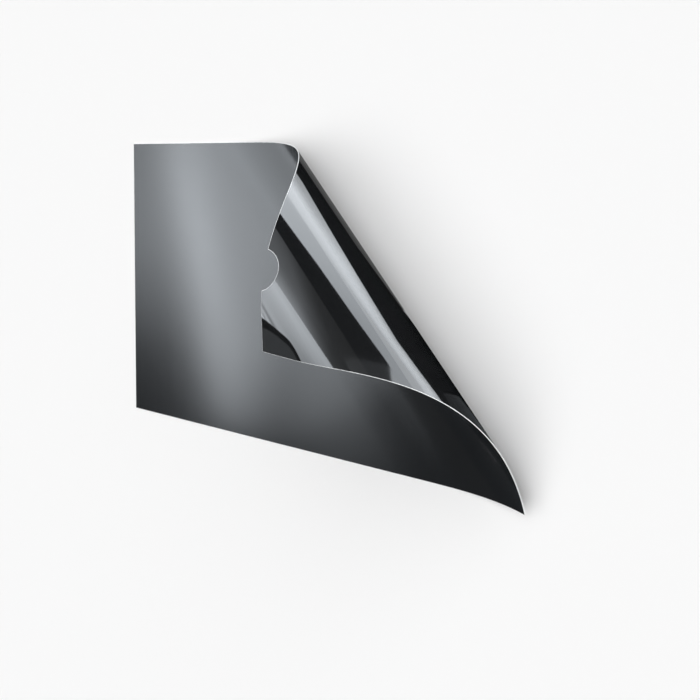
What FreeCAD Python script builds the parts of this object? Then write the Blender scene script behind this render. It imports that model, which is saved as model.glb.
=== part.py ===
"""Privacy filter: one sheet of film, lying face up, its upper right corner peeled and rolled over."""
import FreeCAD, Part
import math
import os

from FreeCAD import Vector

Vector2d = FreeCAD.Base.Vector2d

# Driving dimensions, in millimetres.
# The film is cut flat to a 16:9 rectangle, 27 inches from corner to corner.
film_width = 598.0
film_height = 336.0
film_thickness = 0.8

# The film leaves the flat along a straight line between its top and bottom edges.
# Both places are measured from the left edge.
lift_at_top = 142.0
lift_at_bottom = 465.0

# The roll bends in gently, tightens evenly, and ends in a straight flap.
ease_in_length = 40.0
first_radius = 180.0
tightening_length = 240.0
tight_radius = 54.0
ease_out_length = 30.0

# A finger notch in the top edge, measured from the peeled corner.
notch_from_corner = 76.0
notch_width = 38.0
notch_depth = 15.0

# Length between the stations that the roll's profile is drawn through.
station_step = 6.0
steps_between_stations = 24


def bend_at(distance):
    """Bend of the film at a distance past the lift-off line, in radians per millimetre."""
    tight_at = ease_in_length + tightening_length
    if distance < ease_in_length:
        return distance / ease_in_length / first_radius
    if distance < tight_at:
        share = (distance - ease_in_length) / tightening_length
        return (1 - share) / first_radius + share / tight_radius
    left_over = tight_at + ease_out_length - distance
    return max(left_over, 0.0) / ease_out_length / tight_radius


def roll_stations(length):
    """Walk the film's middle from the lift-off line and return (distance, across, up, slope) at even steps."""
    count = math.ceil(length / station_step)
    fine_step = length / count / steps_between_stations
    distance = across = up = slope = 0.0
    stations = [(distance, across, up, slope)]
    for _ in range(count):
        for _ in range(steps_between_stations):
            half_turn = bend_at(distance + fine_step / 2) * fine_step / 2
            slope += half_turn
            across += math.cos(slope) * fine_step
            up += math.sin(slope) * fine_step
            slope += half_turn
            distance += fine_step
        stations.append((distance, across, up, slope))
    return stations


class FlatPattern:
    """The flat film, and the place of each of its points on the roll."""

    def __init__(self):
        run = Vector(lift_at_bottom - lift_at_top, -film_height, 0)
        self.foot = Vector(lift_at_bottom, 0, 0)
        self.along = run.normalize()
        self.across = Vector(-self.along.y, self.along.x, 0)

    def on_roll(self, x, y):
        """Distance past the lift-off line, and place along it, of a point of the flat film."""
        reach = Vector(x, y, 0) - self.foot
        return Vector2d(reach.dot(self.across), reach.dot(self.along))

    def roll_outline(self):
        """Edge lines and the notch's arc of the rolled part, in roll coordinates, in order round the film."""
        notch_middle = film_width - notch_from_corner
        half_notch = notch_width / 2
        bottom_lift = self.on_roll(lift_at_bottom, 0)
        bottom_right = self.on_roll(film_width, 0)
        top_right = self.on_roll(film_width, film_height)
        notch_near = self.on_roll(notch_middle + half_notch, film_height)
        notch_floor = self.on_roll(notch_middle, film_height - notch_depth)
        notch_far = self.on_roll(notch_middle - half_notch, film_height)
        top_lift = self.on_roll(lift_at_top, film_height)
        line = Part.Geom2d.Line2dSegment
        return [
            line(bottom_lift, bottom_right),
            line(bottom_right, top_right),
            line(top_right, notch_near),
            Part.Geom2d.ArcOfCircle2d(notch_near, notch_floor, notch_far),
            line(notch_far, top_lift),
            line(top_lift, bottom_lift),
        ]


def roll_surface(pattern, stations, height):
    """The roll at a height above the film's middle: one smooth profile carried along the lift-off line."""
    points = []
    for _, across, up, slope in stations:
        out = across - height * math.sin(slope)
        rise = up + height * math.cos(slope) + film_thickness / 2
        points.append(pattern.foot + pattern.across * out + Vector(0, 0, rise))
    last_slope = stations[-1][3]
    first_tangent = pattern.across
    last_tangent = pattern.across * math.cos(last_slope) + Vector(0, 0, math.sin(last_slope))
    profile = Part.BSplineCurve()
    profile.interpolate(
        Points=points,
        Parameters=[station[0] for station in stations],
        InitialTangent=first_tangent,
        FinalTangent=last_tangent,
    )
    return Part.SurfaceOfExtrusion(profile, pattern.along)


def rolled_film(pattern):
    """The peeled part: the outline drawn on the roll's two sides, joined by the cut edge between them."""
    reach = pattern.on_roll(film_width, film_height).x
    stations = roll_stations(reach)
    outline = pattern.roll_outline()
    half = film_thickness / 2
    sides = []
    for height in (-half, half):
        surface = roll_surface(pattern, stations, height)
        edges = [curve.toShape(surface) for curve in outline]
        sides.append((surface, edges))
    faces = []
    for surface, edges in sides:
        faces.append(Part.Face(surface, Part.Wire(edges)))
    for lower, upper in zip(sides[0][1], sides[1][1]):
        faces.append(Part.makeRuledSurface(lower, upper, 1))
    shell = Part.Compound(faces)
    shell.sewShape()
    return Part.Solid(shell.Shells[0])


def flat_film():
    """The part of the film that still lies flat, left of the lift-off line."""
    corners = [
        Vector(0, 0, 0),
        Vector(lift_at_bottom, 0, 0),
        Vector(lift_at_top, film_height, 0),
        Vector(0, film_height, 0),
    ]
    outline = Part.makePolygon(corners + corners[:1])
    return Part.Face(outline).extrude(Vector(0, 0, film_thickness))


def privacy_film():
    """The whole film, with the middle of its box over the origin and its back on the ground."""
    film = flat_film().fuse(rolled_film(FlatPattern())).removeSplitter().Solids[0]
    middle = film.optimalBoundingBox(False, False).Center
    film.translate(Vector(-middle.x, -middle.y, 0))
    return film


os.makedirs("parts", exist_ok=True)
film = privacy_film()
film.exportStep("parts/privacy_film.step")
print("solids", len(film.Solids), "valid", film.isValid(), "volume", round(film.Volume, 1))
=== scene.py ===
# %% [markdown]
# A privacy film, peeled at one corner.
# The object is a single sheet of dark plastic film, a little under a millimetre thick. Its front is matte,
# its back is glossy and its cut edge is pale. One corner has been peeled and has rolled over, so both sides
# show. This lesson cuts the sheet flat, bends it by a formula, and then gives each side its own finish.

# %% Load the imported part
import math

import bmesh
import bpy
from mathutils import Matrix, Vector
from mathutils.geometry import delaunay_2d_cdt


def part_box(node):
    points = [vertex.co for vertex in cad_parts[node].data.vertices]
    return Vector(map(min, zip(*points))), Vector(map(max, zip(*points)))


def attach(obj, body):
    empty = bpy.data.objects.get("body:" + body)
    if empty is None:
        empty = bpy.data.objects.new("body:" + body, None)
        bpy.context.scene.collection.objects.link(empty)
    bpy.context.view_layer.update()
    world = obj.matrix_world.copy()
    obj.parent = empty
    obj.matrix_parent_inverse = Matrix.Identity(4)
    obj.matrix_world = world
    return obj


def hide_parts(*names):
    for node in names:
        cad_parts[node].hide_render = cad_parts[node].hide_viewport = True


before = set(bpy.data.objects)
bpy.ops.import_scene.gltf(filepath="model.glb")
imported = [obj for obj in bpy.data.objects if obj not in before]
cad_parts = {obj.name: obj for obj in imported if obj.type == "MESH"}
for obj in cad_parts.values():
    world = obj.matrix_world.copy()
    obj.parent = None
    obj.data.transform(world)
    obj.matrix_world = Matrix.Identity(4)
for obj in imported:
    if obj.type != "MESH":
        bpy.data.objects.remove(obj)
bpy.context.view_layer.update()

MM = 0.001
FILM_NODE = "privacy_film"
film_low, film_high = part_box(FILM_NODE)
print("film box in mm:", [round(v / MM, 1) for v in (film_high - film_low)])

# %% [markdown]
# The flat sheet.
# A film like this is cut flat, so it is described flat: a rectangle, a round finger notch in the top edge,
# and a straight line along which the film leaves the ground. It could be drawn bent from the start, but then
# none of its lengths could be checked with a ruler. The frame gives the place: its box starts at the sheet's
# left edge and ends at the top edge, because neither of those two edges moves when the corner is peeled.

# %% Sizes of the flat sheet
FILM_WIDTH = 598 * MM
FILM_HEIGHT = 336 * MM
FILM_THICKNESS = 0.8 * MM
LIFT_AT_TOP = 142 * MM
LIFT_AT_BOTTOM = 465 * MM
NOTCH_FROM_CORNER = 76 * MM
NOTCH_WIDTH = 38 * MM
NOTCH_DEPTH = 15 * MM

sheet_corner = Vector((film_low.x, film_high.y - FILM_HEIGHT, 0))
lift_foot = Vector((LIFT_AT_BOTTOM, 0))
along_roll = Vector((LIFT_AT_BOTTOM - LIFT_AT_TOP, -FILM_HEIGHT)).normalized()
across_roll = Vector((-along_roll.y, along_roll.x))
lift_angle = math.degrees(math.atan2(-along_roll.y, along_roll.x))
print("lift-off line runs at", round(lift_angle, 1), "degrees")

# %% [markdown]
# The roll.
# A peeled film bends in one direction only, like a sheet of paper, so each line parallel to the lift-off
# line stays straight. That leaves one curve to draw: the section across the roll. A Simple Deform modifier
# bends by a single arc. A few arcs joined end to end would come closer, but a glossy film shows every jump
# in the bend as a kink in its reflections. So the bend changes evenly along the film, and the section is
# walked out in small steps.

# %% Walk out the roll's section
EASE_IN_LENGTH = 40 * MM
FIRST_RADIUS = 180 * MM
TIGHTENING_LENGTH = 240 * MM
TIGHT_RADIUS = 54 * MM
EASE_OUT_LENGTH = 30 * MM
WALK_STEP = 0.25 * MM


def bend_at(distance):
    """Bend of the film at a distance past the lift-off line, in radians per metre."""
    tight_at = EASE_IN_LENGTH + TIGHTENING_LENGTH
    if distance < EASE_IN_LENGTH:
        return distance / EASE_IN_LENGTH / FIRST_RADIUS
    if distance < tight_at:
        share = (distance - EASE_IN_LENGTH) / TIGHTENING_LENGTH
        return (1 - share) / FIRST_RADIUS + share / TIGHT_RADIUS
    left_over = tight_at + EASE_OUT_LENGTH - distance
    return max(left_over, 0.0) / EASE_OUT_LENGTH / TIGHT_RADIUS


def walk_section(length):
    """(across, up, slope) of the film's middle at each step past the lift-off line."""
    across = up = slope = 0.0
    section = [(across, up, slope)]
    for step in range(math.ceil(length / WALK_STEP) + 1):
        half_turn = bend_at((step + 0.5) * WALK_STEP) * WALK_STEP / 2
        slope += half_turn
        across += math.cos(slope) * WALK_STEP
        up += math.sin(slope) * WALK_STEP
        slope += half_turn
        section.append((across, up, slope))
    return section


def past_lift(flat):
    """Distance past the lift-off line of a point of the flat sheet."""
    return (flat - lift_foot).dot(across_roll)


far_corner = Vector((FILM_WIDTH, FILM_HEIGHT))
roll_section = walk_section(past_lift(far_corner))
print("the corner has turned by", round(math.degrees(roll_section[-1][2])), "degrees")
print("the roll stands", round(max(up for _, up, _ in roll_section) / MM), "mm high")

# %% [markdown]
# From flat to bent.
# One function carries any point of the flat sheet to its place on the bent one, with the direction that the
# film's front faces there. The distance along the roll stays, and the distance across it is looked up in
# the section. Nothing stretches, so the bent sheet has the flat sheet's area, as a real film has. A Curve
# modifier could bend a flat mesh too, but it keeps those directions to itself, and they are needed twice.


# %% Carry a flat point onto the roll
def on_roll(flat):
    """Place in the part's frame, and front normal, of a point of the flat sheet's middle."""
    distance = past_lift(flat)
    across, up, slope = distance, 0.0, 0.0
    if distance > 0:
        index = min(int(distance / WALK_STEP), len(roll_section) - 2)
        share = distance / WALK_STEP - index
        before, after = roll_section[index], roll_section[index + 1]
        across, up, slope = (a + (b - a) * share for a, b in zip(before, after))
    ground = lift_foot + along_roll * (flat - lift_foot).dot(along_roll) + across_roll * across
    place = sheet_corner + Vector((ground.x, ground.y, up + FILM_THICKNESS / 2))
    level = across_roll * -math.sin(slope)
    return place, Vector((level.x, level.y, math.cos(slope)))


corner_place, _ = on_roll(far_corner)
print("the peeled corner ends at mm", [round(v / MM) for v in corner_place])

# %% [markdown]
# Cutting the sheet.
# The outline is walked round once, with points close together where it will bend, and round the notch.
# A second outline runs just inside it: between the two lies the bevel that cutting leaves on the edge.
# Inside that, points lie in rows that follow the roll: near ones on the part that bends, wide ones on the
# part that stays flat. A grid of squares would need the notch cut out of it afterwards, so the points are
# joined by a triangulation that keeps the outline.

# %% Draw the outline
EDGE_STEP = 3 * MM
NOTCH_POINTS = 48


def straight_run(start, end):
    """Points from start up to, but not with, end."""
    count = math.ceil((end - start).length / EDGE_STEP)
    return [start.lerp(end, i / count) for i in range(count)]


def notch_run():
    """Points round the finger notch, from its side near the peeled corner to its far side."""
    half = NOTCH_WIDTH / 2
    radius = (half ** 2 + NOTCH_DEPTH ** 2) / (2 * NOTCH_DEPTH)
    centre = Vector((FILM_WIDTH - NOTCH_FROM_CORNER, FILM_HEIGHT - NOTCH_DEPTH + radius))
    sweep = math.acos((radius - NOTCH_DEPTH) / radius)
    turns = [sweep - 2 * sweep * i / NOTCH_POINTS for i in range(NOTCH_POINTS)]
    return [centre + radius * Vector((math.sin(turn), -math.cos(turn))) for turn in turns]


notch_near = Vector((FILM_WIDTH - NOTCH_FROM_CORNER + NOTCH_WIDTH / 2, FILM_HEIGHT))
notch_far = notch_near - Vector((NOTCH_WIDTH, 0))
bottom_left = Vector((0, 0))
bottom_right = Vector((FILM_WIDTH, 0))
top_left = Vector((0, FILM_HEIGHT))
outline = (
    straight_run(bottom_left, bottom_right)
    + straight_run(bottom_right, far_corner)
    + straight_run(far_corner, notch_near)
    + notch_run()
    + straight_run(notch_far, top_left)
    + straight_run(top_left, bottom_left)
)
print("outline points:", len(outline))

# %% Draw the bevel's inner line
BEVEL_WIDTH = 0.32 * MM


def moved_inwards(points, margin):
    """The closed outline, which runs anticlockwise, with each of its sides moved inwards by margin."""
    moved = []
    for before, here, after in zip(points[-1:] + points[:-1], points, points[1:] + points[:1]):
        first, second = (here - before).normalized(), (after - here).normalized()
        inwards = Vector((-first.y - second.y, first.x + second.x))
        moved.append(here + inwards * margin / (1 + first.dot(second)))
    return moved


bevel_line = moved_inwards(outline, BEVEL_WIDTH)
print("bevel width in mm:", BEVEL_WIDTH / MM)

# %% Fill it with points
ROLL_STEP = 4 * MM
FLAT_STEP = 16 * MM
CLEAR_OF_EDGE = 0.6


def inner_points(step, first, last):
    """Points in rows along the roll, from first to last past the lift-off line, clear of the outline."""
    margin = CLEAR_OF_EDGE * step
    columns = math.ceil(far_corner.length / step)
    points = []
    for row in range(math.ceil((last - first) / step)):
        for column in range(-columns, columns):
            flat = lift_foot + across_roll * (first + row * step) + along_roll * column * step
            inside_x = margin < flat.x < FILM_WIDTH - margin
            inside_y = margin < flat.y < FILM_HEIGHT - margin
            if inside_x and inside_y and min((flat - p).length for p in bevel_line) > margin:
                points.append(flat)
    return points


inside = inner_points(FLAT_STEP, past_lift(bottom_left), -FLAT_STEP / 2)
inside += inner_points(ROLL_STEP, 0.0, past_lift(far_corner))
print("points inside:", len(inside))

# %% Join the points to triangles
INSIDE_ONLY = 1
JOIN_WITHIN = 1e-7

bevel_loop = list(range(len(bevel_line)))
filled = delaunay_2d_cdt(bevel_line + inside, [], [bevel_loop], INSIDE_ONLY, JOIN_WITHIN)
flat_points, triangles, origins = filled[0], filled[2], filled[3]
number_of = {origin: i for i, merged in enumerate(origins) for origin in merged}
bevel_numbers = [number_of[i] for i in bevel_loop]
print("triangles on each side:", len(triangles))

# %% [markdown]
# Giving the sheet its thickness.
# Each flat point becomes two, half a thickness to either side of the film's middle. At the outline the two
# sides draw closer together, which makes the bevel, and a narrow rim joins them. A Solidify modifier would
# give a square edge, and here the exact direction of each point is known, so it is used twice: to place the
# two sides, and as the shading normal. Reflections on the roll then run smoothly over the triangles.

# %% Place the two sides
RIM_THICKNESS = 0.5 * MM


def raised(flat, height):
    """Flat points carried onto the roll, at a height above the film's middle."""
    return [place + normal * height for place, normal in map(on_roll, flat)]


half_film, half_rim = FILM_THICKNESS / 2, RIM_THICKNESS / 2
vertices = raised(flat_points, half_film) + raised(flat_points, -half_film)
vertices += raised(outline, half_rim) + raised(outline, -half_rim)
back_from = len(flat_points)
front_faces = [tuple(triangle) for triangle in triangles]
back_faces = [tuple(back_from + i for i in reversed(triangle)) for triangle in triangles]
print("vertices:", len(vertices))

# %% Close the cut edge
front_rim_from = 2 * len(flat_points)
back_rim_from = front_rim_from + len(outline)
edge_faces = []
for i, inner in enumerate(bevel_numbers):
    j = (i + 1) % len(bevel_numbers)
    inner_next = bevel_numbers[j]
    front_outer, front_next = front_rim_from + i, front_rim_from + j
    back_outer, back_next = back_rim_from + i, back_rim_from + j
    edge_faces.append((front_outer, front_next, inner_next, inner))
    edge_faces.append((front_outer, back_outer, back_next, front_next))
    edge_faces.append((back_outer, back_from + inner, back_from + inner_next, back_next))
print("faces on the cut edge:", len(edge_faces))

# %% Make the sheet
FRONT, BACK, EDGE = 0, 1, 2

film_mesh = bpy.data.meshes.new("film_sheet")
film_mesh.from_pydata(vertices, [], front_faces + back_faces + edge_faces)
kinds = [FRONT] * len(front_faces) + [BACK] * len(back_faces) + [EDGE] * len(edge_faces)
film_mesh.polygons.foreach_set("material_index", kinds)
film = bpy.data.objects.new("film_sheet", film_mesh)
bpy.context.scene.collection.objects.link(film)
print("triangles:", sum(len(p.vertices) - 2 for p in film_mesh.polygons))

# %% Shade it by the roll, and keep the flat place of each point
FLAT_MAP = "flat_sheet"


def facing(polygon, flat):
    """Shading normal of a polygon's corner, which lies at a point of the flat sheet."""
    if polygon.material_index == EDGE:
        return polygon.normal.copy()
    _, front_normal = on_roll(flat)
    return front_normal if polygon.material_index == FRONT else -front_normal


film_mesh.shade_smooth()
flat_map = film_mesh.uv_layers.new(name=FLAT_MAP)
flat_places = list(flat_points) * 2 + outline * 2
shading = [Vector()] * len(film_mesh.loops)
for polygon in film_mesh.polygons:
    for loop in polygon.loop_indices:
        flat_place = flat_places[film_mesh.loops[loop].vertex_index]
        flat_map.uv[loop].vector = flat_place
        shading[loop] = facing(polygon, flat_place)
film_mesh.normals_split_custom_set(shading)
print("shading normals set:", len(shading))

# %% [markdown]
# Checking that the sheet is closed.
# A hole or a flipped face would show as a stray face. It could be looked for by eye, with face
# orientation shown, but a count is surer: every edge of a closed mesh belongs to two faces, and its volume
# is about its area times its thickness.

# %% Count open edges and measure the sheet
CUBIC_CM = 1e-6

probe = bmesh.new()
probe.from_mesh(film_mesh)
open_edges = sum(1 for edge in probe.edges if len(edge.link_faces) != 2)
volume = probe.calc_volume(signed=True)
probe.free()
front_area = sum(p.area for p in film_mesh.polygons if p.material_index == FRONT)
flat_area = FILM_WIDTH * FILM_HEIGHT
print("open edges:", open_edges, " volume in cubic cm:", round(volume / CUBIC_CM, 1))
print("front area in square metres:", round(front_area, 4), " flat sheet:", round(flat_area, 4))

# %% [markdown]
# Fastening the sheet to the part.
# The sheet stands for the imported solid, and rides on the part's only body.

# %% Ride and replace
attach(film, "root")
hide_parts(FILM_NODE)
print(film.name, "rides on root in place of", FILM_NODE)

# %% [markdown]
# What is uneven about a film.
# No plastic film is perfectly even. Its coating is thicker in some places, which makes broad clouds. Its
# inner louvres are shaved from a block of thin layers, and leave faint upright streaks. And its surface has
# a fine grain. They could be painted as a picture, but that blurs when it is seen close up, and noise does
# not. All three are needed on both sides, at different strengths, so they are one node group. It reads the
# flat map, so the streaks bend with the film.


# %% An empty node group with named sockets
def new_group(name, inputs, outputs):
    """A shader node group with float sockets, and its input and output nodes."""
    group = bpy.data.node_groups.new(name, "ShaderNodeTree")
    for socket, value in inputs.items():
        made = group.interface.new_socket(socket, in_out="INPUT", socket_type="NodeSocketFloat")
        made.default_value = value
    for socket in outputs:
        group.interface.new_socket(socket, in_out="OUTPUT", socket_type="NodeSocketFloat")
    return group, group.nodes.new("NodeGroupInput"), group.nodes.new("NodeGroupOutput")


FEATURES_PER_METRE = {"Cloud scale": 9.0, "Streak scale": 220.0, "Grain scale": 2200.0}
film_unevenness, given, result = new_group(
    "film_unevenness", FEATURES_PER_METRE, ["Clouds", "Streaks", "Grain"]
)
print("group sockets:", [socket.name for socket in film_unevenness.interface.items_tree])

# %% Clouds, streaks and grain in the group
STREAK_STRETCH = (1.0, 0.02, 1.0)
NOISE_DETAIL = 2.0

nodes, links = film_unevenness.nodes, film_unevenness.links
flat_coordinates = nodes.new("ShaderNodeUVMap")
flat_coordinates.uv_map = FLAT_MAP
stretched = nodes.new("ShaderNodeVectorMath")
stretched.operation = "MULTIPLY"
stretched.inputs[1].default_value = STREAK_STRETCH
links.new(flat_coordinates.outputs["UV"], stretched.inputs[0])
for scale, mask, place in (
    ("Cloud scale", "Clouds", flat_coordinates.outputs["UV"]),
    ("Streak scale", "Streaks", stretched.outputs["Vector"]),
    ("Grain scale", "Grain", flat_coordinates.outputs["UV"]),
):
    noise = nodes.new("ShaderNodeTexNoise")
    noise.inputs["Detail"].default_value = NOISE_DETAIL
    links.new(place, noise.inputs["Vector"])
    links.new(given.outputs[scale], noise.inputs["Scale"])
    links.new(noise.outputs["Fac"], result.inputs[mask])
    print("mask:", mask, "from noise at", FEATURES_PER_METRE[scale], "per metre")

# %% [markdown]
# Three finishes.
# Each finish is one Principled shader. What is the same all over the surface is set on the shader itself,
# and only what changes over the surface comes through nodes. A few helpers make the shader, place the group,
# take the mean of two masks, and map a mask to a narrow range of values, to colours or to relief.


# %% Helpers for the shader and the group
def new_finish(name):
    """A material with a Principled shader, and the parts that the finishes work with."""
    material = bpy.data.materials.new(name)
    material.use_nodes = True
    tree = material.node_tree
    return material, tree, tree.nodes["Principled BSDF"]


def place_group(tree, group, values):
    """A group node with its own values."""
    node = tree.nodes.new("ShaderNodeGroup")
    node.node_tree = group
    for socket, value in values.items():
        node.inputs[socket].default_value = value
    return node


print("finishes share the group", film_unevenness.name)

# %% Helpers for the masks
MASK_LOW, MASK_HIGH = 0.3, 0.7


def mean_of(tree, first, second):
    """The mean of two masks."""
    mean = tree.nodes.new("ShaderNodeMix")
    mean.inputs["Factor"].default_value = 0.5
    tree.links.new(first, mean.inputs["A"])
    tree.links.new(second, mean.inputs["B"])
    return mean.outputs["Result"]


def to_range(tree, mask, low, high):
    """The mask, which lies around one half, spread from low to high."""
    spread = tree.nodes.new("ShaderNodeMapRange")
    spread.inputs["From Min"].default_value = MASK_LOW
    spread.inputs["From Max"].default_value = MASK_HIGH
    spread.inputs["To Min"].default_value = low
    spread.inputs["To Max"].default_value = high
    tree.links.new(mask, spread.inputs["Value"])
    return spread.outputs["Result"]


def to_colour(tree, mask, dark, light):
    """The mask turned into a colour between dark and light."""
    ramp = tree.nodes.new("ShaderNodeValToRGB")
    for stop, place, colour in zip(ramp.color_ramp.elements, (MASK_LOW, MASK_HIGH), (dark, light)):
        stop.position = place
        stop.color = (*colour, 1)
    tree.links.new(mask, ramp.inputs["Fac"])
    return ramp.outputs["Color"]


def add_relief(tree, shader, mask, strength, depth):
    """Fine relief under the shader, drawn from a mask."""
    bump = tree.nodes.new("ShaderNodeBump")
    bump.inputs["Strength"].default_value = strength
    bump.inputs["Distance"].default_value = depth
    tree.links.new(mask, bump.inputs["Height"])
    tree.links.new(bump.outputs["Normal"], shader.inputs["Normal"])


print("masks are read from", MASK_LOW, "to", MASK_HIGH)

# %% [markdown]
# The matte front.
# The front is etched so that it throws lamps back as a soft glow and not as a picture. On a real film that
# is a frosting far finer than a pixel. Its pits could be drawn as bump, but that would only sparkle, so the
# glow comes from the roughness, and a slight grain in the relief keeps the surface from looking like glass
# when it is seen close up.

# %% Matte front
FRONT_SCALES = {"Cloud scale": 7.0, "Grain scale": 2400.0}
FRONT_DARK = (0.0064, 0.0074, 0.0086)
FRONT_LIGHT = (0.0084, 0.0096, 0.0110)
FRONT_ROUGHNESS = (0.15, 0.17)
FRONT_IOR = 1.5
GRAIN_STRENGTH = 0.08
GRAIN_DEPTH = 0.05 * MM


def make_matte_front():
    material, tree, shader = new_finish("film_matte_front")
    uneven = place_group(tree, film_unevenness, FRONT_SCALES)
    shades = mean_of(tree, uneven.outputs["Clouds"], uneven.outputs["Streaks"])
    tree.links.new(to_colour(tree, shades, FRONT_DARK, FRONT_LIGHT), shader.inputs["Base Color"])
    tree.links.new(to_range(tree, shades, *FRONT_ROUGHNESS), shader.inputs["Roughness"])
    shader.inputs["IOR"].default_value = FRONT_IOR
    add_relief(tree, shader, uneven.outputs["Grain"], GRAIN_STRENGTH, GRAIN_DEPTH)
    return material


matte_front = make_matte_front()
print("finish:", matte_front.name)

# %% [markdown]
# The glossy back.
# The back is bare polished plastic, so it mirrors what stands round it. A rolled film is never quite true:
# very shallow waves make the reflected edges wander a little. They could be moved into the mesh, but they
# are shallower than a hair is thick, so they are drawn from the cloud mask, as relief.

# %% Glossy back
BACK_SCALES = {"Cloud scale": 11.0, "Grain scale": 1500.0}
BACK_DARK = (0.0076, 0.0082, 0.0090)
BACK_LIGHT = (0.0098, 0.0104, 0.0112)
BACK_ROUGHNESS = (0.05, 0.07)
BACK_IOR = 1.68
WAVE_STRENGTH = 0.12
WAVE_DEPTH = 0.6 * MM


def make_glossy_back():
    material, tree, shader = new_finish("film_glossy_back")
    uneven = place_group(tree, film_unevenness, BACK_SCALES)
    shades = mean_of(tree, uneven.outputs["Clouds"], uneven.outputs["Streaks"])
    tree.links.new(to_colour(tree, shades, BACK_DARK, BACK_LIGHT), shader.inputs["Base Color"])
    tree.links.new(to_range(tree, uneven.outputs["Grain"], *BACK_ROUGHNESS), shader.inputs["Roughness"])
    shader.inputs["IOR"].default_value = BACK_IOR
    add_relief(tree, shader, uneven.outputs["Clouds"], WAVE_STRENGTH, WAVE_DEPTH)
    return material


glossy_back = make_glossy_back()
print("finish:", glossy_back.name)

# %% [markdown]
# The cut edge.
# Light that enters the clear layers of the film leaves at its cut edge, so the edge looks pale although both
# sides are dark. A translucent shader could carry that light, but the edge is under a millimetre wide, and
# a pale colour shows it well enough.

# %% Pale cut edge
EDGE_SCALES = {"Cloud scale": 60.0, "Grain scale": 900.0}
EDGE_DARK = (0.82, 0.84, 0.85)
EDGE_LIGHT = (0.92, 0.93, 0.94)
EDGE_ROUGHNESS = (0.35, 0.55)


def make_cut_edge():
    material, tree, shader = new_finish("film_cut_edge")
    uneven = place_group(tree, film_unevenness, EDGE_SCALES)
    colour = to_colour(tree, uneven.outputs["Clouds"], EDGE_DARK, EDGE_LIGHT)
    tree.links.new(colour, shader.inputs["Base Color"])
    tree.links.new(to_range(tree, uneven.outputs["Grain"], *EDGE_ROUGHNESS), shader.inputs["Roughness"])
    return material


cut_edge = make_cut_edge()
for finish in (matte_front, glossy_back, cut_edge):
    film_mesh.materials.append(finish)
print("finishes on the sheet:", [m.name for m in film_mesh.materials])

# %% [markdown]
# The floor.
# The film lies on a wide pale floor. A backdrop that curves up behind it would look right from one side
# only, so a low ring far away carries the floor's tone up past the horizon all round. A view from the side
# then has no dark edge behind the film.

# %% Floor
FLOOR_HALF = 30.0
FLOOR_DROP = 0.3 * MM
FLOOR_COLOUR = (0.88, 0.88, 0.88)
STAGE_ROUGHNESS = 0.9
BLACK = (0.0, 0.0, 0.0)
WHITE = (1.0, 1.0, 1.0)


def plain_stage(name, colour=BLACK, glow=0.0):
    """A plain material for what isn't part of the object."""
    material, _, shader = new_finish(name)
    shader.inputs["Base Color"].default_value = (*colour, 1)
    shader.inputs["Roughness"].default_value = STAGE_ROUGHNESS
    shader.inputs["Specular IOR Level"].default_value = 0.0
    shader.inputs["Emission Color"].default_value = (*WHITE, 1)
    shader.inputs["Emission Strength"].default_value = glow
    return material


def stage_object(name, points, faces, material):
    """A mesh that belongs to the studio and not to the object."""
    mesh = bpy.data.meshes.new(name)
    mesh.from_pydata(points, [], faces)
    mesh.materials.append(material)
    made = bpy.data.objects.new(name, mesh)
    bpy.context.scene.collection.objects.link(made)
    return made


corner_signs = ((-1, -1), (1, -1), (1, 1), (-1, 1))
floor_corners = [(x * FLOOR_HALF, y * FLOOR_HALF, -FLOOR_DROP) for x, y in corner_signs]
floor = stage_object("floor", floor_corners, [(0, 1, 2, 3)], plain_stage("pale_floor", FLOOR_COLOUR))
print("stage:", floor.name)

# %% Horizon
RING_RADIUS = 12.0
RING_HEIGHT = 3.2
RING_SEGMENTS = 96
RING_GLOW = 0.947

ring_points = []
ring_faces = []
for i in range(RING_SEGMENTS):
    turn = 2 * math.pi * i / RING_SEGMENTS
    foot = Vector((math.cos(turn), math.sin(turn), 0)) * RING_RADIUS
    ring_points += [foot - Vector((0, 0, FLOOR_DROP)), foot + Vector((0, 0, RING_HEIGHT))]
    here, following = 2 * i, 2 * ((i + 1) % RING_SEGMENTS)
    ring_faces.append((here, here + 1, following + 1, following))
ring = stage_object("horizon_ring", ring_points, ring_faces, plain_stage("pale_horizon", glow=RING_GLOW))
ring.visible_diffuse = False
ring.visible_shadow = False
print("stage:", ring.name)

# %% [markdown]
# The light.
# Two kinds of light are kept apart. A wide lamp overhead, a lamp to the side and a dim sky give the plain
# level that the floor and the pale edge are seen by. Area lamps near the film would light the floor in
# patches, so both lamps are far off, and so wide that their shadows are soft. The film itself is almost
# black, so what it shows is what it mirrors: for that, cards are set round it, as in a product studio, and
# only reflections see them.

# %% Sky and lamps
SKY_LEVEL = 0.12
WIDE_LAMP_LEVEL = 1.57
WIDE_LAMP_SPREAD = math.radians(80)
SIDE_LAMP_LEVEL = 2.25
SIDE_LAMP_SPREAD = math.radians(70)
SIDE_LAMP_ELEVATION = math.radians(40)


def add_lamp(name, aim, level, spread):
    """A far lamp that lights surfaces but isn't seen, neither straight nor in reflections."""
    made = bpy.data.objects.new(name, bpy.data.lights.new(name, "SUN"))
    made.data.energy = level
    made.data.angle = spread
    made.rotation_euler = aim.to_track_quat("-Z", "Y").to_euler()
    made.visible_camera = False
    made.visible_glossy = False
    bpy.context.scene.collection.objects.link(made)
    print("lamp:", name, "level", level)


world = bpy.data.worlds.new("dim_sky")
world.use_nodes = True
sky = world.node_tree.nodes["Background"]
sky.inputs["Color"].default_value = (*WHITE, 1)
sky.inputs["Strength"].default_value = SKY_LEVEL
bpy.context.scene.world = world

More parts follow.
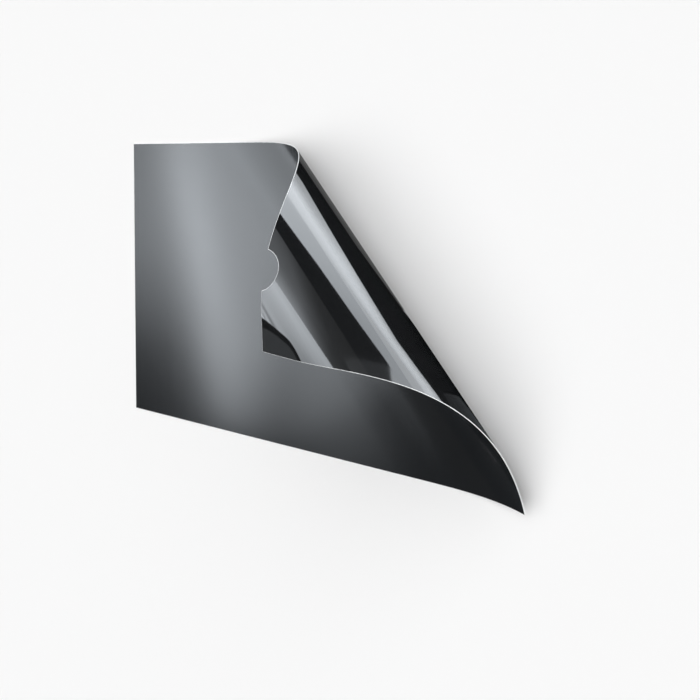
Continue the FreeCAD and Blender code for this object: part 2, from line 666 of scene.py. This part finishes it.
side_run = -across_roll * math.cos(SIDE_LAMP_ELEVATION)
side_aim = Vector((side_run.x, side_run.y, -math.sin(SIDE_LAMP_ELEVATION)))
add_lamp("wide_lamp", Vector((0, 0, -1)), WIDE_LAMP_LEVEL, WIDE_LAMP_SPREAD)
add_lamp("side_lamp", side_aim, SIDE_LAMP_LEVEL, SIDE_LAMP_SPREAD)

# %% [markdown]
# Cards for the reflections.
# A picture of surroundings in the world would be mirrored too, but none of its parts could be moved by
# itself, and lamps that are seen in reflections would also light the floor. So each reflection is a card.
# A card adds its own glow to the light that it lets through from behind. A clear card only adds, so such
# cards may overlap. A card that blocks what is behind it and has no glow is a black flag, and one that
# blocks only a part of it is a veil. Only reflections see the cards, so they light nothing and cast no
# shadow. Levels are pairs of a place on the card, from 0 to 1, and a brightness or a blocked share there.
# The levels along a card hold for its glow and for what it blocks.

# %% Levels of a card as nodes
CARD_TINT = (0.94, 1.00, 1.06)
ALL = ((0.0, 1.0), (1.0, 1.0))
NONE = ((0.0, 0.0), (1.0, 0.0))


def level_ramp(tree, place, levels):
    """Brightness along one direction of a card, from (place, level) pairs."""
    ramp = tree.nodes.new("ShaderNodeValToRGB")
    stops = ramp.color_ramp.elements
    while len(stops) < len(levels):
        stops.new(0.5)
    for stop, (position, level) in zip(stops, levels):
        stop.position = position
        stop.color = (level, level, level, 1)
    tree.links.new(place, ramp.inputs["Fac"])
    return ramp.outputs["Color"]


def times(tree, first, second):
    """Two colours multiplied."""
    product = tree.nodes.new("ShaderNodeVectorMath")
    product.operation = "MULTIPLY"
    for socket, value in zip(product.inputs, (first, second)):
        if isinstance(value, bpy.types.NodeSocket):
            tree.links.new(value, socket)
        else:
            socket.default_value = value
    return product.outputs["Vector"]


print("tint of the cards:", CARD_TINT)

# %% Material of a card
CARD_MAP = "card"


def card_material(name, glow, along, across, block):
    """Glow with its levels along and across the card, added to the light that isn't blocked."""
    material = bpy.data.materials.new(name)
    material.use_nodes = True
    tree = material.node_tree
    tree.nodes.clear()
    card_map = tree.nodes.new("ShaderNodeUVMap")
    card_map.uv_map = CARD_MAP
    axes = tree.nodes.new("ShaderNodeSeparateXYZ")
    emission = tree.nodes.new("ShaderNodeEmission")
    clear = tree.nodes.new("ShaderNodeBsdfTransparent")
    both = tree.nodes.new("ShaderNodeAddShader")
    output = tree.nodes.new("ShaderNodeOutputMaterial")
    tree.links.new(card_map.outputs["UV"], axes.inputs["Vector"])
    lengthwise = level_ramp(tree, axes.outputs["X"], along)
    levels = times(tree, lengthwise, level_ramp(tree, axes.outputs["Y"], across))
    blocked = times(tree, lengthwise, level_ramp(tree, axes.outputs["Y"], block))
    let_through = tree.nodes.new("ShaderNodeInvert")
    tree.links.new(times(tree, levels, CARD_TINT), emission.inputs["Color"])
    emission.inputs["Strength"].default_value = glow
    tree.links.new(blocked, let_through.inputs["Color"])
    tree.links.new(let_through.outputs["Color"], clear.inputs["Color"])
    tree.links.new(emission.outputs["Emission"], both.inputs[0])
    tree.links.new(clear.outputs["BSDF"], both.inputs[1])
    tree.links.new(both.outputs["Shader"], output.inputs["Surface"])
    return material


print("cards read their levels from the map", CARD_MAP)

# %% Shape of a card
ROW_CUTS = 12


def filled_in(row):
    """A row of points with each stretch cut into short ones, so that the levels follow the card's shape."""
    points = [a.lerp(b, i / ROW_CUTS) for a, b in zip(row, row[1:]) for i in range(ROW_CUTS)]
    return points + row[-1:]


def card(name, rows, glow=0.0, along=ALL, across=ALL, block=NONE):
    """A card through rows of points, matched one to one, which only shows in reflections."""
    rows = [filled_in(row) for row in rows]
    count = len(rows[0])
    starts = [row * count + i for row in range(len(rows) - 1) for i in range(count - 1)]
    faces = [(i, i + 1, count + i + 1, count + i) for i in starts]
    made = stage_object(name, sum(rows, []), faces, card_material(name, glow, along, across, block))
    card_map = made.data.uv_layers.new(name=CARD_MAP)
    for loop in made.data.loops:
        row, column = divmod(loop.vertex_index, count)
        card_map.uv[loop.index].vector = (column / (count - 1), row / (len(rows) - 1))
    made.visible_camera = False
    made.visible_diffuse = False
    made.visible_shadow = False
    made.visible_transmission = False
    print("card:", name)


print("cuts in each stretch of a row:", ROW_CUTS)

# %% [markdown]
# Cards over the front.
# A softbox hangs over the film's left half, and its right end reaches over to the roll. A narrow bright strip
# crosses it, which the matte front blurs to a soft upright band, and its far side is dimmer. It could be one
# card, but then its levels could only change along and across it, so it is made of five that overlap. They
# fade towards the low end, where a weak patch lets the film fall off slowly to black.

# %% Overhead cards
OVERHEAD = 1.0
LAYER = 0.01


def level_row(up, *places):
    """Places that lie level, at a height above the ground."""
    return [Vector((x, y, up)) for x, y in places]


def overhead(layer, *places):
    """Places overhead; each layer hangs a little higher, so that cards don't share a plane."""
    return level_row(OVERHEAD + layer * LAYER, *places)


card(
    "softbox",
    [overhead(0, (-1.16, -0.62), (-1.08, -0.62)), overhead(0, (-1.56, 0.72), (-0.86, 0.60))],
    glow=5.1,
    along=((0.0, 0.9), (0.42, 0.9), (0.55, 1.0), (0.66, 1.0), (1.0, 0.0)),
    across=((0.0, 0.0), (0.05, 0.12), (0.13, 0.58), (0.25, 0.95), (0.35, 1.0), (1.0, 1.0)),
)
card(
    "softbox_right_end",
    [overhead(1, (-1.10, -0.597), (0.06, 0.069)), overhead(1, (-1.10, 0.611), (0.06, 0.215))],
    glow=6.2,
    along=((0.0, 0.0), (0.14, 1.0), (0.72, 1.0), (0.82, 0.88), (1.0, 0.7)),
    across=(
        (0.0, 0.0), (0.06, 0.25), (0.20, 0.50), (0.31, 0.67),
        (0.42, 0.78), (0.55, 0.9), (0.68, 1.0), (1.0, 1.0),
    ),
)
card(
    "softbox_low_end",
    [overhead(2, (-1.06, -0.66), (-0.58, -0.64)), overhead(2, (-1.06, -0.10), (-0.58, -0.14))],
    glow=1.35,
    along=((0.0, 0.0), (0.17, 0.5), (0.29, 0.9), (0.40, 1.0), (0.58, 0.95), (0.75, 0.4), (1.0, 0.0)),
    across=((0.0, 0.0), (0.27, 0.65), (0.40, 1.0), (0.55, 0.75), (0.70, 0.45), (0.86, 0.25), (1.0, 0.0)),
)
card(
    "bright_strip",
    [overhead(3, (-1.296, -0.56), (-1.554, 0.36)), overhead(3, (-1.180, -0.53), (-1.464, 0.39))],
    glow=14.0,
    along=((0.0, 0.2), (0.12, 0.75), (0.25, 1.0), (0.62, 1.0), (0.75, 0.9), (0.85, 0.6), (1.0, 0.5)),
    across=((0.0, 0.0), (0.5, 1.0), (1.0, 0.0)),
)
card(
    "far_side",
    [overhead(4, (-2.0, -0.50), (-1.18, -0.50)), overhead(4, (-2.0, 0.72), (-1.56, 0.72))],
    glow=2.5,
    across=((0.0, 0.0), (0.11, 0.07), (0.27, 0.62), (0.38, 0.92), (0.5, 0.95), (0.65, 0.80), (1.0, 0.7)),
)

# %% [markdown]
# Flags beside the front.
# Where the front rises into the roll, it would mirror the pale horizon to the left, and the floor before the
# film's lower edge. The horizon could be hidden from reflections, but then the back would lose it too. So one
# flag is set up to the left and another lies in front. They are not quite black, as dark cloth isn't either.

# %% Flags to the left and in front
FLAG_GLOW = 0.08
FLAG_LEFT, FLAG_RIGHT = -2.2, 0.4
FLAG_LIFT = MM

front_edge = sheet_corner.y - FLAG_LIFT
card(
    "left_shade",
    [level_row(up, (FLAG_LEFT, -4.0), (FLAG_LEFT, 1.2)) for up in (0.0, OVERHEAD)],
    glow=FLAG_GLOW,
    block=ALL,
)
card(
    "front_shade",
    [level_row(FLAG_LIFT, (FLAG_LEFT, y), (FLAG_RIGHT, y)) for y in (-2.5, front_edge)],
    glow=FLAG_GLOW,
    block=ALL,
)

# %% [markdown]
# Cards beside the roll.
# The roll mirrors everything beside it in narrow upright bands. A bright card that starts on the floor and
# rises away from the roll gives the long light stripe. A streak just before it is its brightest line, and
# a veil dims the stripe's foot at its upper end. The card could be one flat board, but its foot follows the
# stripe's own side, so it is drawn through stations along the roll.

# %% The bright side card
CARD_LIFT = 2 * MM
SIDE_PLANE = 0.70
SIDE_END = 0.20
STATIONS = (-0.70, -0.33, -0.225, -0.14, -0.06, 0.15)
SIDE_FOOT = (0.225, 0.207, 0.252, 0.283, 0.244, 0.200)


def beside_roll(*places):
    """Places given across the roll, along it and up, from the foot of the lift-off line."""
    found = []
    for across, along, up in places:
        ground = lift_foot + across_roll * across + along_roll * along
        found.append(sheet_corner + Vector((ground.x, ground.y, up)))
    return found


def at_stations(distances, up):
    """A level row with a distance across the roll for each station, from the first station on."""
    return beside_roll(*[(across, along, up) for across, along in zip(distances, STATIONS)])


def on_side_plane(*places, layer=0):
    """Places on an upright plane beside the roll, given along the roll and up."""
    return beside_roll(*[(SIDE_PLANE + layer * LAYER, along, up) for along, up in places])


side_foot = at_stations(SIDE_FOOT, CARD_LIFT)
side_top = on_side_plane(
    (-0.90, 0.50), (-0.545, 0.315), (-0.440, 0.240), (-0.335, 0.195), (-0.250, 0.140), (SIDE_END, 0.140)
)
card(
    "side_card",
    [side_foot, side_top],
    glow=6.1,
    along=((0.0, 1.0), (0.2, 1.0), (0.4, 0.85), (0.6, 0.67), (0.75, 0.63), (1.0, 0.65)),
    across=((0.0, 0.70), (0.06, 0.95), (0.12, 1.0), (1.0, 1.0)),
)

# %% Streak and veil before the side card
VEIL_FROM, VEIL_TO = -0.02, 0.12


def before_side_card(layer, shares):
    """A row just before the side card, with a share of the way from its foot to its top for each point."""
    before = Vector((0, 0, layer * CARD_LIFT))
    return [foot.lerp(top, share) + before for foot, top, share in zip(side_foot, side_top, shares)]


card(
    "side_streak",
    [
        before_side_card(1, (0.03, 0.03, 0.01, 0.0, 0.0, 0.0)),
        before_side_card(1, (0.32, 0.32, 0.27, 0.21, 0.19, 0.19)),
    ],
    glow=2.0,
    along=((0.0, 0.6), (0.2, 0.65), (0.4, 0.85), (0.6, 1.0), (1.0, 1.0)),
    across=((0.0, 0.0), (0.35, 0.9), (0.5, 1.0), (0.65, 0.9), (1.0, 0.0)),
)
card(
    "side_veil",
    [before_side_card(2, [share] * len(STATIONS)) for share in (VEIL_FROM, VEIL_TO)],
    along=((0.0, 1.0), (0.20, 0.93), (0.27, 0.68), (0.40, 0.0), (1.0, 0.0)),
    block=((0.0, 0.55), (0.3, 0.53), (0.53, 0.42), (0.75, 0.20), (1.0, 0.0)),
)

# %% [markdown]
# Above and below the side card.
# Towards the roll's low end the light stripe turns upwards: a post is set on the side card's end there, with
# a faint haze round it. On the floor, a black flag between the side card and the roll gives the dark stripe,
# a veil under the roll dims the rim that mirrors the floor, and a very weak glow lightens the low end. A tall
# flag behind them all keeps the horizon out. The floor itself could be painted dark and light there, but
# then every view would see it.

# %% Post and haze
POST_FOOT, POST_TOP = 0.14, 0.70

card(
    "side_post",
    [
        on_side_plane((-0.240, POST_FOOT), (SIDE_END, POST_FOOT)),
        on_side_plane((-0.172, POST_TOP), (SIDE_END, POST_TOP)),
    ],
    glow=3.8,
)
haze_near = ((-0.24, 0.16), (-0.27, 0.35), (-0.33, 0.60), (-0.52, 1.26))
haze_far = [(SIDE_END, up) for _, up in haze_near]
card("side_haze", [on_side_plane(*places, layer=-1) for places in (haze_near, haze_far)], glow=0.27)

# %% Cards on the floor, and the flag behind
ROLL_FOOT = (0.146, 0.145, 0.143, 0.120, 0.030, 0.030)
RIM_STATIONS = 4
RIM_FROM = 0.06
RIM_BLOCK = ((0.0, 0.75), (1.0, 0.75))
TOP_SHADE_START, TOP_SHADE_HEIGHT = -0.90, 0.62

roll_foot = at_stations(ROLL_FOOT, CARD_LIFT / 2)
card("foot_shade", [roll_foot, at_stations(SIDE_FOOT, CARD_LIFT / 2)], block=ALL)
under_roll = at_stations([RIM_FROM] * RIM_STATIONS, CARD_LIFT / 2)
card("rim_shade", [under_roll, roll_foot[:RIM_STATIONS]], block=RIM_BLOCK)
card(
    "foot_glow",
    [
        beside_roll((0.20, -0.050, CARD_LIFT), (0.13, -0.034, CARD_LIFT)),
        beside_roll((0.24, 0.100, CARD_LIFT), (0.06, 0.100, CARD_LIFT)),
    ],
    glow=0.1,
)
card(
    "top_shade",
    [
        on_side_plane((TOP_SHADE_START, up), (SIDE_END, up), layer=1)
        for up in (0.0, TOP_SHADE_HEIGHT)
    ],
    block=ALL,
)

# %% [markdown]
# Cards over the roll.
# Between the softbox and the flag behind the side card the light fades, which gives the soft side of the dark
# band on top of the roll. The flap's corner mirrors a small flag with a round corner, with a weak glow before
# it, and a veil dims the light just past its edge. The flag could be a plain rectangle, but the dark patch in
# the photograph is round at that corner.

# %% Fading light over the roll
card(
    "fading_glow",
    [
        overhead(5, (-0.50, 0.406), (0.40, 0.099)),
        overhead(5, (-0.22, 0.803), (0.60, 0.380)),
        overhead(5, (0.29, 2.140), (1.09, 1.590)),
    ],
    glow=3.4,
    along=((0.0, 1.0), (0.36, 1.0), (0.43, 0.80), (0.48, 0.44), (0.52, 0.25), (0.56, 0.10), (0.75, 0.0)),
    across=((0.0, 1.0), (0.17, 0.70), (0.34, 0.45), (0.5, 0.33), (0.67, 0.26), (0.77, 0.20), (1.0, 0.08)),
)

# %% Flag for the flap's corner
CORNER_UP = 0.230
CORNER_LEFT, CORNER_LOW, CORNER_HIGH = -0.08, -0.12, -0.030
CORNER_STEPS = 6


def round_cornered(left, right, low, high, corner, up):
    """The low and high rows of a level card with a round corner at its high right."""
    turns = [math.radians(90) * i / CORNER_STEPS for i in range(CORNER_STEPS + 1)]
    middle = Vector((right - corner, high - corner))
    high_row = [Vector((left, high))]
    high_row += [middle + corner * Vector((math.sin(turn), math.cos(turn))) for turn in turns]
    return [[Vector((p.x, low, up)) for p in high_row], [Vector((p.x, p.y, up)) for p in high_row]]


corner_flag = round_cornered(
    left=CORNER_LEFT, right=0.073, low=CORNER_LOW, high=CORNER_HIGH, corner=0.020, up=CORNER_UP
)
glow_before_flag = round_cornered(
    left=-0.05, right=0.064, low=CORNER_LOW, high=-0.041, corner=0.016, up=CORNER_UP - 2 * CARD_LIFT
)
card("corner_shade", corner_flag, block=ALL)
card("corner_glow", glow_before_flag, glow=0.3)
card(
    "corner_veil",
    [
        level_row(CORNER_UP, (CORNER_LEFT, CORNER_HIGH), (-0.003, CORNER_HIGH)),
        level_row(CORNER_UP, (CORNER_LEFT, -0.012), (-0.001, -0.012)),
    ],
    along=((0.0, 1.0), (0.9, 1.0), (1.0, 0.0)),
    block=((0.0, 0.5), (0.25, 0.42), (0.45, 0.32), (0.8, 0.1), (1.0, 0.0)),
)

# %% [markdown]
# A diffuser at the bend.
# Where the film's front starts to bend, it turns away from the softbox. A larger softbox would follow it, but
# would also show in the back. So a diffuser is held close over the bend, bent as the film is: it takes over
# from the softbox and grows darker round the bend. Further down a veil under it dims the front.

# %% Diffuser and veil over the bend
BEND_GAP = 10 * MM
BEND_FROM = -0.03


def over_bend(last, count, start, end, gap):
    """Rows along the roll, held over the film's front from just before the lift-off line to last past it."""
    rows = []
    for i in range(count):
        foot = lift_foot + across_roll * (BEND_FROM + (last - BEND_FROM) * i / (count - 1))
        rows.append(raised([foot + along_roll * along for along in (start, end)], gap))
    return rows


card(
    "bend_diffuser",
    over_bend(last=0.13, count=11, start=-0.60, end=0.0, gap=BEND_GAP),
    glow=5.0,
    along=((0.0, 1.0), (0.53, 1.0), (0.70, 0.08), (1.0, 0.0)),
    across=(
        (0.0, 0.0), (0.10, 0.05), (0.20, 0.30), (0.32, 0.87), (0.41, 0.66),
        (0.52, 0.46), (0.60, 0.32), (0.66, 0.25), (0.85, 0.28), (1.0, 0.0),
    ),
    block=((0.0, 0.0), (0.10, 0.06), (0.20, 0.35), (0.32, 1.0), (0.85, 1.0), (1.0, 0.0)),
)
card(
    "bend_veil",
    over_bend(last=0.04, count=8, start=-0.18, end=0.02, gap=BEND_GAP - CARD_LIFT),
    along=((0.0, 0.0), (0.35, 0.7), (0.48, 1.0), (0.75, 0.85), (0.92, 0.5), (1.0, 0.3)),
    block=((0.0, 0.0), (0.13, 0.21), (0.35, 0.32), (0.55, 0.5), (0.75, 0.5), (0.85, 0.2), (0.95, 0.0)),
)

# %% [markdown]
# The camera.
# The photograph looks at the film from its right. With the film laid down, that is a camera to the right and
# above, turned so that the film's top edge is up in the picture. It could be aimed with a Track To
# constraint, but that leaves no say in the roll. Place, aim and roll come from matching the outline of the
# bent sheet to the photograph.

# %% Camera
CAMERA_PLACE = Vector((0.7670, 0.1229, 0.8072))
CAMERA_FORWARD = Vector((-0.64743, -0.15672, -0.74584))
CAMERA_UP = Vector((-0.12073, 0.98736, -0.10267))
CAMERA_LENS = 52.98
SENSOR_WIDTH = 36.0

camera_data = bpy.data.cameras.new("camera")
camera_data.sensor_width = SENSOR_WIDTH
camera_data.lens = CAMERA_LENS
camera = bpy.data.objects.new("camera", camera_data)
backward = -CAMERA_FORWARD.normalized()
rightward = CAMERA_UP.cross(backward).normalized()
upward = backward.cross(rightward)
camera_turn = Matrix((rightward, upward, backward)).transposed()
camera.matrix_world = Matrix.Translation(CAMERA_PLACE) @ camera_turn.to_4x4()
bpy.context.scene.collection.objects.link(camera)
bpy.context.scene.camera = camera
bpy.context.scene.view_settings.view_transform = "Standard"
print("camera elevation:", round(math.degrees(math.asin(backward.z)), 1), "degrees")
